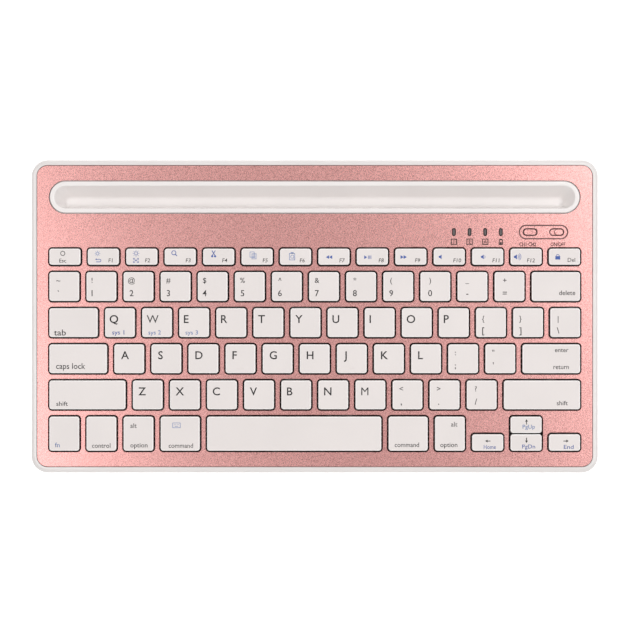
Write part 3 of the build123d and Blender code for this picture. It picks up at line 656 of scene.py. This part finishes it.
pairs = {"shiftY": 5.5, "plainY": 12.3, "shiftHeight": 2.6, "plainHeight": 3.05}
pairMarks = {
    "backquote": ("~", "`", 4.6), "1": ("!", "1", 2.9), "2": ("@", "2", 4.1), "3": ("#", "3", 3.95),
    "4": ("$", "4", 3.5), "5": ("%", "5", 3.9), "6": ("^", "6", 4.05), "7": ("&", "7", 4.0), "8": ("*", "8", 4.4),
    "9": ("(", "9", 4.0), "0": (")", "0", 4.9), "minus": ("_", "-", 4.9), "equals": ("+", "=", 5.1),
    "left_bracket": ("{", "[", 3.6), "right_bracket": ("}", "]", 3.6), "backslash": ("|", "\\", 3.9),
    "semicolon": (":", ";", 3.6), "quote": ('"', "'", 4.0), "comma": ("<", ",", 4.4), "period": (">", ".", 4.5),
    "slash": ("?", "/", 4.6),
}
for name, (shifted, plain, centre) in pairMarks.items():
    sheet, at = mark(name)
    down = 1.1 if name in punctuation[:3] else 0.0
    sheet.word(shifted, *at(centre, pairs["shiftY"] + down), pairs["shiftHeight"], grey, "centre")
    sheet.word(plain, *at(centre, pairs["plainY"] + down / 2), pairs["plainHeight"], black, "centre")

# word, millimetres from the cap's left edge (from its right edge where negative), down to the baseline,
# capital height, width and ink
words = {
    "tab": [("tab", 2.4, 13.9, 3.0, 6.1, black)],
    "caps_lock": [("caps lock", 3.5, 12.5, 2.9, 14.9, grey)],
    "left_shift": [("shift", 3.6, 12.9, 2.2, 5.9, grey)],
    "right_shift": [("shift", -6.4, 12.6, 2.2, 5.6, grey)],
    "delete": [("delete", -2.5, 11.7, 2.3, 8.3, black)],
    "return": [("enter", -6.0, 3.9, 2.2, 6.9, grey), ("return", -5.8, 12.6, 2.3, 7.9, grey)],
    "fn": [("fn", 2.9, 15.6, 2.3, 2.5, paleBlue)],
    "control": [("control", 2.9, 15.9, 2.3, 9.4, black)],
    "left_option": [("alt", 3.5, 5.7, 2.3, 3.2, grey), ("option", 3.5, 15.7, 2.3, 8.75, black)],
    "right_option": [("alt", -3.8, 5.0, 2.3, 3.2, grey), ("option", -3.8, 15.5, 2.3, 8.75, black)],
    "left_command": [("command", 4.1, 15.9, 2.3, 12.5, grey)],
    "right_command": [("command", -4.4, 15.5, 2.3, 12.5, grey)],
    "left_arrow": [("Home", 5.9, 7.4, 2.0, 6.2, blue)],
    "up_arrow": [("PgUp", 6.1, 6.1, 2.0, 6.3, paleBlue)],
    "down_arrow": [("PgDn", 5.9, 7.2, 2.0, 6.6, blue)],
    "right_arrow": [("End", 7.5, 7.4, 2.0, 5.0, blue)],
    "q": [("sys 1", 3.7, 13.4, 2.2, 6.2, blue)],
    "w": [("sys 2", 3.2, 13.4, 2.1, 6.4, paleBlue)],
    "e": [("sys 3", 3.2, 13.4, 2.1, 6.4, paleBlue)],
}
for name, entries in words.items():
    sheet, at = mark(name)
    for text, right, down, height, width, colour in entries:
        align = "left" if right > 0 else "right"
        sheet.word(text, *at(right if right > 0 else caps[name]["width"] + right, down), height, colour, align, width)

functionWords = {"escape": ("Esc", 6.9, 7.1), "lock": ("Del", 11.4, 6.7)}
functionCentres = [11.6, 10.9, 12.0, 11.0, 12.05, 11.35, 12.0, 12.4, 11.3, 11.9, 12.05, 10.3]
functionWords.update({f"f{i + 1}": (f"F{i + 1}", centre, 6.95) for i, centre in enumerate(functionCentres)})
for name, (text, centre, down) in functionWords.items():
    sheet, at = mark(name)
    sheet.word(text, *at(centre, down), 1.95, grey, "centre", slant=0.12 if name.startswith("f") else 0.0)


def sun(sheet, x, y, radius, colour):
    sheet.arc(x, y, radius * 0.5, 0, 360, 0.26, colour)
    for i in range(8):
        a = 2 * pi * i / 8
        sheet.stroke([(x + radius * 0.74 * cos(a), y + radius * 0.74 * sin(a)),
                      (x + radius * cos(a), y + radius * sin(a))], 0.22, colour)


def arrow(sheet, x, y, length, turn, colour):
    # a straight arrow about its middle
    a = radians(turn)
    tip = (x + cos(a) * length * 0.22, y + sin(a) * length * 0.22)
    sheet.stroke([(x - cos(a) * length / 2, y - sin(a) * length / 2), tip], 0.42, colour)
    sheet.triangle(x + cos(a) * length * 0.28, y + sin(a) * length * 0.28, length * 0.5, length * 0.62, turn, colour)


def speaker(sheet, x, y, size, waves, colour):
    sheet.box(x - size * 0.36, y, size * 0.28, size * 0.42, colour)
    sheet.slab([(x - size * 0.3, y - size * 0.2), (x + size * 0.12, y - size * 0.52),
                (x + size * 0.12, y + size * 0.52), (x - size * 0.3, y + size * 0.2)], colour)
    for i in range(waves):
        sheet.arc(x, y, size * (0.42 + 0.26 * i), -48, 48, 0.24, colour, 8)


def padlock(sheet, x, y, size, colour):
    sheet.box(x, y - size * 0.22, size * 0.8, size * 0.56, colour)
    sheet.arc(x, y + size * 0.08, size * 0.25, 0, 180, 0.28, colour, 10)


def functionIcons():
    sheet, at = mark("escape")
    sheet.arc(*at(6.9, 2.4), 1.1, 0, 360, 0.34, grey, 20)
    sheet, at = mark("f1")
    sun(sheet, *at(5.0, 2.5), 1.3, paleBlue)
    x, y = at(5.3, 6.0)
    sheet.triangle(x - 1.1, y + 0.55, 0.8, 1.0, 180, blue)
    sheet.stroke([(x - 0.9, y + 0.55), (x + 0.8, y + 0.55)], 0.32, blue)
    sheet.arc(x + 0.8, y - 0.1, 0.65, -90, 90, 0.32, blue, 8)
    sheet.stroke([(x + 0.8, y - 0.75), (x - 0.9, y - 0.75)], 0.32, blue)
    sheet, at = mark("f2")
    sun(sheet, *at(5.05, 2.4), 1.6, blue)
    x, y = at(5.0, 6.0)
    for sx in (-1, 1):
        for sy in (-1, 1):
            sheet.stroke([(x + sx * 0.6, y + sy * 1.05), (x + sx * 1.3, y + sy * 1.05), (x + sx * 1.3, y + sy * 0.45)],
                         0.28, blue)
    sheet.stroke([(x - 0.75, y - 0.5), (x + 0.75, y + 0.5)], 0.26, blue)
    sheet.stroke([(x - 0.75, y + 0.5), (x + 0.75, y - 0.5)], 0.26, blue)
    sheet, at = mark("f3")
    x, y = at(4.9, 2.3)
    sheet.arc(x - 0.2, y + 0.2, 1.05, 0, 360, 0.36, blue, 20)
    sheet.stroke([(x + 0.6, y - 0.6), (x + 1.3, y - 1.3)], 0.42, blue)
    sheet, at = mark("f4")
    x, y = at(5.4, 2.7)
    sheet.stroke([(x - 0.75, y + 1.6), (x + 0.6, y - 0.7)], 0.4, blue)
    sheet.stroke([(x + 0.75, y + 1.6), (x - 0.6, y - 0.7)], 0.4, blue)
    sheet.disc(x - 0.75, y - 1.2, 0.55, blue)
    sheet.disc(x + 0.75, y - 1.2, 0.55, blue)
    sheet, at = mark("f5")
    x, y = at(5.9, 3.5)
    sheet.frameBox(x - 0.5, y + 0.5, 2.4, 2.9, 0.26, paleBlue)
    sheet.frameBox(x + 0.5, y - 0.4, 2.4, 2.9, 0.26, paleBlue)
    for step in (-0.7, 0.0, 0.7):
        sheet.stroke([(x - 0.2, y - 0.4 + step), (x + 1.2, y - 0.4 + step)], 0.2, paleBlue)
    sheet, at = mark("f6")
    x, y = at(6.2, 3.9)
    sheet.frameBox(x, y - 0.2, 3.0, 3.6, 0.28, paleBlue)
    sheet.box(x, y + 1.7, 1.5, 0.7, paleBlue)
    sheet.arc(x + 0.1, y - 0.2, 0.8, -60, 220, 0.26, paleBlue, 12)
    sheet.stroke([(x - 0.5, y - 0.95), (x + 0.9, y - 0.95)], 0.24, paleBlue)
    sheet, at = mark("f7")
    x, y = at(5.5, 4.3)
    for step in (-0.85, 0.75):
        sheet.triangle(x + step, y, 1.6, 1.9, 180, blue)
    sheet, at = mark("f8")
    x, y = at(5.6, 4.4)
    sheet.triangle(x - 1.1, y, 1.5, 1.9, 0, blue)
    for step in (0.3, 0.95, 1.6):
        sheet.box(x + step, y, 0.32, 1.8, blue)
    sheet, at = mark("f9")
    x, y = at(4.2, 4.3)
    for step in (-0.75, 0.85):
        sheet.triangle(x + step, y, 1.6, 1.9, 0, blue)
    for name, right, waves, size in (("f10", 3.7, 0, 2.3), ("f11", 5.6, 1, 2.3), ("f12", 2.9, 3, 2.5)):
        sheet, at = mark(name)
        speaker(sheet, *at(right, 4.2), size, waves, blue)
    sheet, at = mark("lock")
    padlock(sheet, *at(4.4, 4.0), 3.1, blue)


functionIcons()
sheet, at = mark("left_command")
x, y = at(8.1, 4.4)
sheet.frameBox(x, y, 4.1, 2.7, 0.26, paleBlue)
for column in (-1.1, -0.4, 0.4, 1.1):
    sheet.box(x + column, y + 0.35, 0.3, 0.3, paleBlue)
sheet.box(x, y - 0.5, 1.8, 0.26, paleBlue)
for name, right, down, turn in (("left_arrow", 7.9, 3.4, 180), ("up_arrow", 8.1, 2.6, 90),
                                ("down_arrow", 8.1, 3.1, 270), ("right_arrow", 8.7, 3.4, 0)):
    sheet, at = mark(name)
    arrow(sheet, *at(right, down), 2.4, turn, black)
for body, sheet in prints.items():
    # the space bar carries no print
    if sheet.made.faces:
        sheet.finish("legend_" + body.replace("key_", ""), body)

# the cover's own print: icons below the indicators and words below the switches
stripMarks = {"indicatorX": 83.4, "pitch": 8.0, "iconDown": 5.0, "icon": 3.2, "channelX": 109.2,
              "powerX": 124.7, "wordDown": 6.3, "wordHeight": 1.8}


def coverPrint():
    marks = stripMarks
    sheet = Print(0.0)
    row = stripRow - marks["iconDown"]
    firstX = marks["indicatorX"] - 1.5 * marks["pitch"]
    for index, text in enumerate(("1", "2", "A")):
        x = firstX + index * marks["pitch"]
        sheet.frameBox(x, row, marks["icon"], marks["icon"], 0.45, brown)
        sheet.word(text, x, row - 0.85, 1.7, brown, "centre", bold=0.02)
    x = firstX + 3 * marks["pitch"]
    sheet.frameBox(x, row - 0.2, 2.1, 2.8, 0.45, brown)
    sheet.box(x, row + 1.4, 1.0, 0.4, brown)
    sheet.box(x, row - 0.7, 0.9, 1.1, brown)
    low = stripRow - marks["wordDown"] - marks["wordHeight"] / 2
    sheet.word("CH1·CH2", marks["channelX"], low, marks["wordHeight"], brown, "centre", 8.6, bold=0.02)
    sheet.word("ON/OFF", marks["powerX"], low, marks["wordHeight"], brown, "centre", 7.6, bold=0.02)
    sheet.finish("coverPrint", "housing")


coverPrint()
print("legends printed on", len(prints), "key bodies")

# ---- what repeats under the caps: one mesh spread over each body's keys by Geometry Nodes


def spreadTree():
    # a copy of Piece on every point, turned by Turn, made real and given Finish
    tree = bpy.data.node_groups.new("spreadOverSpots", "GeometryNodeTree")
    face = tree.interface
    face.new_socket("Geometry", in_out="INPUT", socket_type="NodeSocketGeometry")
    face.new_socket("Piece", in_out="INPUT", socket_type="NodeSocketObject")
    face.new_socket("Turn", in_out="INPUT", socket_type="NodeSocketRotation")
    face.new_socket("Finish", in_out="INPUT", socket_type="NodeSocketMaterial")
    face.new_socket("Geometry", in_out="OUTPUT", socket_type="NodeSocketGeometry")
    add, link = tree.nodes.new, tree.links.new
    start, end = add("NodeGroupInput"), add("NodeGroupOutput")
    piece, spread = add("GeometryNodeObjectInfo"), add("GeometryNodeInstanceOnPoints")
    real, paint = add("GeometryNodeRealizeInstances"), add("GeometryNodeSetMaterial")
    link(start.outputs["Geometry"], spread.inputs["Points"])
    link(start.outputs["Piece"], piece.inputs["Object"])
    link(piece.outputs["Geometry"], spread.inputs["Instance"])
    link(start.outputs["Turn"], spread.inputs["Rotation"])
    link(spread.outputs["Instances"], real.inputs["Geometry"])
    link(real.outputs["Geometry"], paint.inputs["Geometry"])
    link(start.outputs["Finish"], paint.inputs["Material"])
    link(paint.outputs["Geometry"], end.inputs["Geometry"])
    return tree


spreader = spreadTree()
inputIds = {item.name: item.identifier for item in spreader.interface.items_tree if item.in_out == "INPUT"}


def spreadMesh(name, points, pattern, turn, finish):
    # the pattern mesh at each row-frame point, as one plain mesh
    spots = bpy.data.meshes.new(name + "Spots")
    spots.from_pydata([tuple(p) for p in points], [], [])
    holder, source = linked(name + "Spots", spots), linked(name + "Pattern", pattern)
    modifier = holder.modifiers.new("spread", "NODES")
    modifier.node_group = spreader
    modifier[inputIds["Piece"]] = source
    modifier[inputIds["Turn"]] = tuple(turn)
    modifier[inputIds["Finish"]] = finish
    mesh = meshOf(holder)
    bpy.data.objects.remove(source)
    for face in mesh.polygons:
        face.use_smooth = True
    mesh.set_sharp_from_angle(angle=radians(38))
    return mesh


def turned(profile, steps=20):
    # a closed solid from x, z pairs in millimetres turned about the z axis
    made = bmesh.new()
    rings = []
    for x, z in profile:
        if x < 1e-6:
            rings.append([made.verts.new((0, 0, z * mm))])
        else:
            rings.append([made.verts.new((x * mm * cos(2 * pi * i / steps), x * mm * sin(2 * pi * i / steps), z * mm))
                          for i in range(steps)])
    for low, high in zip(rings, rings[1:]):
        for i in range(steps):
            j = (i + 1) % steps
            corners = [low[i % len(low)], low[j % len(low)], high[j % len(high)], high[i % len(high)]]
            unique = list(dict.fromkeys(corners))
            if len(unique) > 2:
                made.faces.new(unique)
    bmesh.ops.recalc_face_normals(made, faces=made.faces)
    return meshFrom(made, "turned")


under = {"membrane": -4.0, "capInside": 0.9, "plunger": 0.5, "travel": 1.8, "clearance": 0.1}
domeHeight = under["capInside"] - under["plunger"] - under["clearance"] - under["membrane"]
domeLook = {"top": 1.15, "wall": 0.4, "flange": 0.35}


def domeMesh(radius):
    # a collapsible dome: curved skirt, solid top with a small dimple
    look = domeLook
    skirt, height = radius - look["flange"], domeHeight
    outside = [(0, height - 0.25), (0.55, height - 0.2), (0.8, height), (look["top"], height - 0.02),
               (look["top"] + 0.05, height * 0.78), (look["top"] + 0.22, height * 0.66), (skirt - 0.12, height * 0.2),
               (skirt, look["flange"]), (radius, look["flange"]), (radius, 0.0)]
    inside = [(skirt - look["wall"], 0.0), (skirt - look["wall"] - 0.1, height * 0.18),
              (look["top"] - 0.2, height * 0.6), (0.6, height * 0.6), (0.5, height * 0.5), (0, height * 0.5)]
    return turned(outside + inside, 18)


linkLook = {"long": 10.8, "wide": 10.6, "slim": 6.0, "bar": 0.7, "gap": 0.15, "clear": 0.2}
linkSpan = under["capInside"] - under["membrane"] - 2 * linkLook["clear"]
linkLean = (linkSpan - linkLook["bar"]) / linkLook["long"]


def framePart(made, wide, lean):
    # one scissor frame about the origin: four rounded bars and a pin at each end
    look = linkLook
    half, bar = look["long"] / 2, look["bar"]
    turn = Matrix.Rotation(lean, 4, "X")
    ring = [(-1, -0.6), (-0.6, -1), (0.6, -1), (1, -0.6), (1, 0.6), (0.6, 1), (-0.6, 1), (-1, 0.6)]

    def rod(a, b, radius):
        along = (b - a).normalized()
        side = along.orthogonal().normalized()
        if abs(along.z) < 0.9:
            side = Vector((0, 0, 1))
        other = along.cross(side)
        rings = [[made.verts.new(turn @ ((end + side * (u * radius) + other * (v * radius)) * mm)) for u, v in ring]
                 for end in (a, b)]
        count = len(ring)
        for i in range(count):
            j = (i + 1) % count
            made.faces.new((rings[0][i], rings[0][j], rings[1][j], rings[1][i]))
        made.faces.new(rings[0][::-1])
        made.faces.new(rings[1])

    inset = bar / 2
    x, y = wide / 2 - inset, half - inset
    rod(Vector((-x, -half, 0)), Vector((-x, half, 0)), inset)
    rod(Vector((x, -half, 0)), Vector((x, half, 0)), inset)
    rod(Vector((-x + inset, -y, 0)), Vector((x - inset, -y, 0)), inset * 0.9)
    rod(Vector((-x + inset, y, 0)), Vector((x - inset, y, 0)), inset * 0.9)


def linkMesh(wide, across=False):
    # a crossed pair of frames
    look = linkLook
    made = bmesh.new()
    framePart(made, wide, linkLean)
    framePart(made, wide - 2 * (look["bar"] + look["gap"]), -linkLean)
    if across:
        bmesh.ops.rotate(made, verts=made.verts, cent=(0, 0, 0), matrix=Matrix.Rotation(radians(90), 3, "Z"))
    bmesh.ops.recalc_face_normals(made, faces=made.faces)
    return meshFrom(made, "link")


barLook = {"radius": 0.35, "inset": 2.4, "reach": 5.6, "bend": 1.2, "wall": 0.9, "gap": 0.15, "lift": 0.05}


def barMesh(name, cap):
    # a bent wire along the rear of a wide cap, its ends on the membrane
    look = barLook
    half = cap["width"] / 2 - look["inset"]
    y = cap["rear"] - look["wall"] - look["gap"] - look["radius"]
    high = under["capInside"] - look["radius"] - look["lift"]
    low = under["membrane"] + look["radius"] + look["lift"]
    curve = bpy.data.curves.new(name, "CURVE")
    curve.dimensions = "3D"
    curve.bevel_depth = look["radius"] * mm
    curve.bevel_resolution = 3
    curve.use_fill_caps = True
    spline = curve.splines.new("POLY")
    corners = [Vector((-half, y - look["reach"], low)), Vector((-half, y, high)), Vector((half, y, high)),
               Vector((half, y - look["reach"], low))]
    path = [corners[0]]
    for before, corner, after in zip(corners, corners[1:], corners[2:]):
        a = corner + (before - corner).normalized() * look["bend"]
        b = corner + (after - corner).normalized() * look["bend"]
        for i in range(7):
            t = i / 6
            path.append(a * (1 - t) ** 2 + corner * 2 * t * (1 - t) + b * t ** 2)
    path.append(corners[-1])
    spline.points.add(len(path) - 1)
    for point, place in zip(spline.points, path):
        point.co = (*onDeck(cap["x"] + place.x, place.y, place.z), 1)
    mesh = meshOf(linked(name, curve))
    for face in mesh.polygons:
        face.use_smooth = True
    return mesh


def flatten(piece, body, height, cap):
    # gives the piece its own mesh; how far it would sink with its key towards the membrane (keep, anchor) is worked
    # out but not applied
    keep = (height - under["travel"]) / height
    anchor = tuple(onDeck(cap["x"], cap["y"], under["membrane"]))
    body + "_press"
    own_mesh(piece)


deckTurn = (deckTilt, 0, 0)
domeBig, domeSmall = domeMesh(3.0), domeMesh(1.75)
linkBig, linkSmall = linkMesh(linkLook["wide"]), linkMesh(linkLook["slim"], across=True)
linkLevel = (under["capInside"] + under["membrane"]) / 2
firstDome = firstLink = firstBar = None
for body in keyBodies:
    own = [cap for cap in caps.values() if cap["body"] == body]
    deep = own[0]["depth"] > 12
    name = body.replace("key_", "")
    spots = [onDeck(cap["x"], cap["y"], under["membrane"]) for cap in own]
    mesh = spreadMesh("dome", spots, domeBig if deep else domeSmall, deckTurn, finishes["dome_rubber"])
    dome = pieceFrom("dome_" + name, mesh, "housing")
    spots = [onDeck(cap["x"], cap["y"], linkLevel) for cap in own]
    mesh = spreadMesh("link", spots, linkBig if deep else linkSmall, deckTurn, finishes["link_plastic"])
    link = pieceFrom("link_" + name, mesh, "housing")
    flatten(dome, body, domeHeight + under["clearance"] / 2, own[0])
    flatten(link, body, linkSpan + linkLook["clear"], own[0])
    wide = [cap for cap in own if cap["units"] >= 1.5]
    bar = None
    if wide:
        bar = pieceFrom("bar_" + name, barMesh(name, wide[0]), "housing", finishes["bar_steel"])
        flatten(bar, body, under["capInside"] - barLook["lift"] - under["membrane"], wide[0])
    if firstDome is None:
        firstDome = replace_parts(dome, "rubber_domes")
        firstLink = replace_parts(link, "scissor_links")
    if bar and firstBar is None:
        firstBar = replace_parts(bar, "stabiliser_bars")
print("domes, links and bars under", len(keyBodies), "key bodies")

# ---- case screws: a domed head with a cross slot, spread over the nine holes

screwLook = {"head": 1.8, "headHigh": 0.85, "shank": 0.9, "length": 5.7, "slotWide": 0.34, "slotLong": 1.6,
             "slotDeep": 0.5, "outerX": 100.0, "middleXs": (-120.0, -40.0, 40.0)}


def screwMesh():
    look = screwLook
    r, h = look["head"], look["headHigh"]
    profile = [(0, 0.02), (r * 0.55, 0.03), (r * 0.85, 0.1), (r, 0.3), (r, h), (look["shank"], h)]
    turns = 9
    pitch = (look["length"] - h) / turns
    for i in range(turns):
        z = h + pitch * (i + 0.5)
        profile += [(look["shank"], z), (look["shank"] * 0.82, z + pitch / 2)]
    profile += [(look["shank"] * 0.4, look["length"]), (0, look["length"] + 0.15)]
    screw = linked("screw", turned(profile, 24))
    long, wide = look["slotLong"], look["slotWide"]
    for name, size in (("slotX", (long, wide)), ("slotY", (wide, long))):
        made = bmesh.new()
        bmesh.ops.create_cube(made, size=1.0)
        bmesh.ops.scale(made, verts=made.verts, vec=(size[0] * mm, size[1] * mm, 2 * look["slotDeep"] * mm))
        cutter = linked(name, meshFrom(made, name))
        cut = screw.modifiers.new(name, "BOOLEAN")
        cut.object = cutter
        cut.solver = "EXACT"
    mesh = meshOf(screw)
    for name in ("slotX", "slotY"):
        bpy.data.objects.remove(bpy.data.objects[name])
    return mesh


def screwSpots():
    # six near the front and rear edges, at the CAD screws' places, and three along the strip
    look = screwLook
    low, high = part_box("case_screws")
    margin = look["head"] * mm
    outer = look["outerX"] * mm
    spots = [(x, y, low.z) for y in (low.y + margin, high.y - margin) for x in (-outer, 0.0, outer)]
    middle = stripRow * mm * cos(deckTilt)
    return spots + [(x * mm, middle, low.z) for x in look["middleXs"]]


screwSet = pieceFrom("caseScrews", spreadMesh("screws", screwSpots(), screwMesh(), (0, 0, 0), finishes["screw_steel"]),
                     "housing")
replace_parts(screwSet, "case_screws")
print("screws set")

# ---- floor, light and camera

studio = {"sky": 0.36, "lights": [
    {"name": "leftSoftbox", "at": (-0.58, -0.04, 1.12), "size": (0.48, 0.9), "power": 4.4, "along": (0.45, -0.89, 0)},
    {"name": "rightSoftbox", "at": (0.55, 0.08, 1.12), "size": (0.50, 1.20), "power": 7.0, "along": (0.35, -0.94, 0)},
    {"name": "frontFill", "at": (0.0, -1.5, 0.95), "size": (1.2, 0.5), "power": 3.2, "along": (0, 0.3, 1)},
    {"name": "rearFill", "at": (0.0, 1.5, 0.95), "size": (1.2, 0.5), "power": 4.2, "along": (0, 0.3, 1)},
]}


def aimed(place, along):
    # turned so that -Z looks at the origin and Y lies along the given way
    back = Vector(place).normalized()
    side = Vector(along).cross(back).normalized()
    return Matrix((side, back.cross(side), back)).transposed().to_4x4()


def setStudio():
    bpy.ops.mesh.primitive_plane_add(size=6.0, location=(0, 0, -0.0002))
    floor = bpy.context.object
    floor.name = "floor"
    paper = Finish("paleFloor", Roughness=0.9, Base_Color=(0.9, 0.9, 0.9), Emission_Color=(1.0, 1.0, 1.0),
                   Emission_Strength=0.55)
    floor.data.materials.append(paper.material)
    world = bpy.data.worlds.new("studio")
    bpy.context.scene.world = world
    world.use_nodes = True
    background = world.node_tree.nodes["Background"]
    background.inputs["Color"].default_value = (1.0, 0.99, 0.985, 1)
    background.inputs["Strength"].default_value = studio["sky"]
    for row in studio["lights"]:
        light = bpy.data.lights.new(row["name"], "AREA")
        light.shape = "RECTANGLE"
        light.size, light.size_y = row["size"]
        light.energy = row["power"]
        lamp = bpy.data.objects.new(row["name"], light)
        bpy.context.scene.collection.objects.link(lamp)
        lamp.matrix_world = Matrix.Translation(row["at"]) @ aimed(row["at"], row["along"])
    bpy.context.scene.view_settings.view_transform = "Standard"
    bpy.context.scene.view_settings.look = "None"


view = {"distance": 1.10, "aside": (2.7, -2.0), "framePerMm": 1.9505, "frame": 640, "sensor": 36.0}


def setCamera():
    # square to the deck, a little to the right of and in front of its middle
    data = bpy.data.cameras.new("camera")
    data.sensor_width = view["sensor"]
    seen = view["frame"] / view["framePerMm"] * mm
    data.lens = view["sensor"] * view["distance"] / seen
    camera = bpy.data.objects.new("camera", data)
    bpy.context.scene.collection.objects.link(camera)
    camera.location = onDeck(*view["aside"]) + deckNormal * view["distance"]
    camera.rotation_euler = (deckTilt, 0, 0)
    bpy.context.scene.camera = camera


setStudio()
setCamera()
print("studio set")
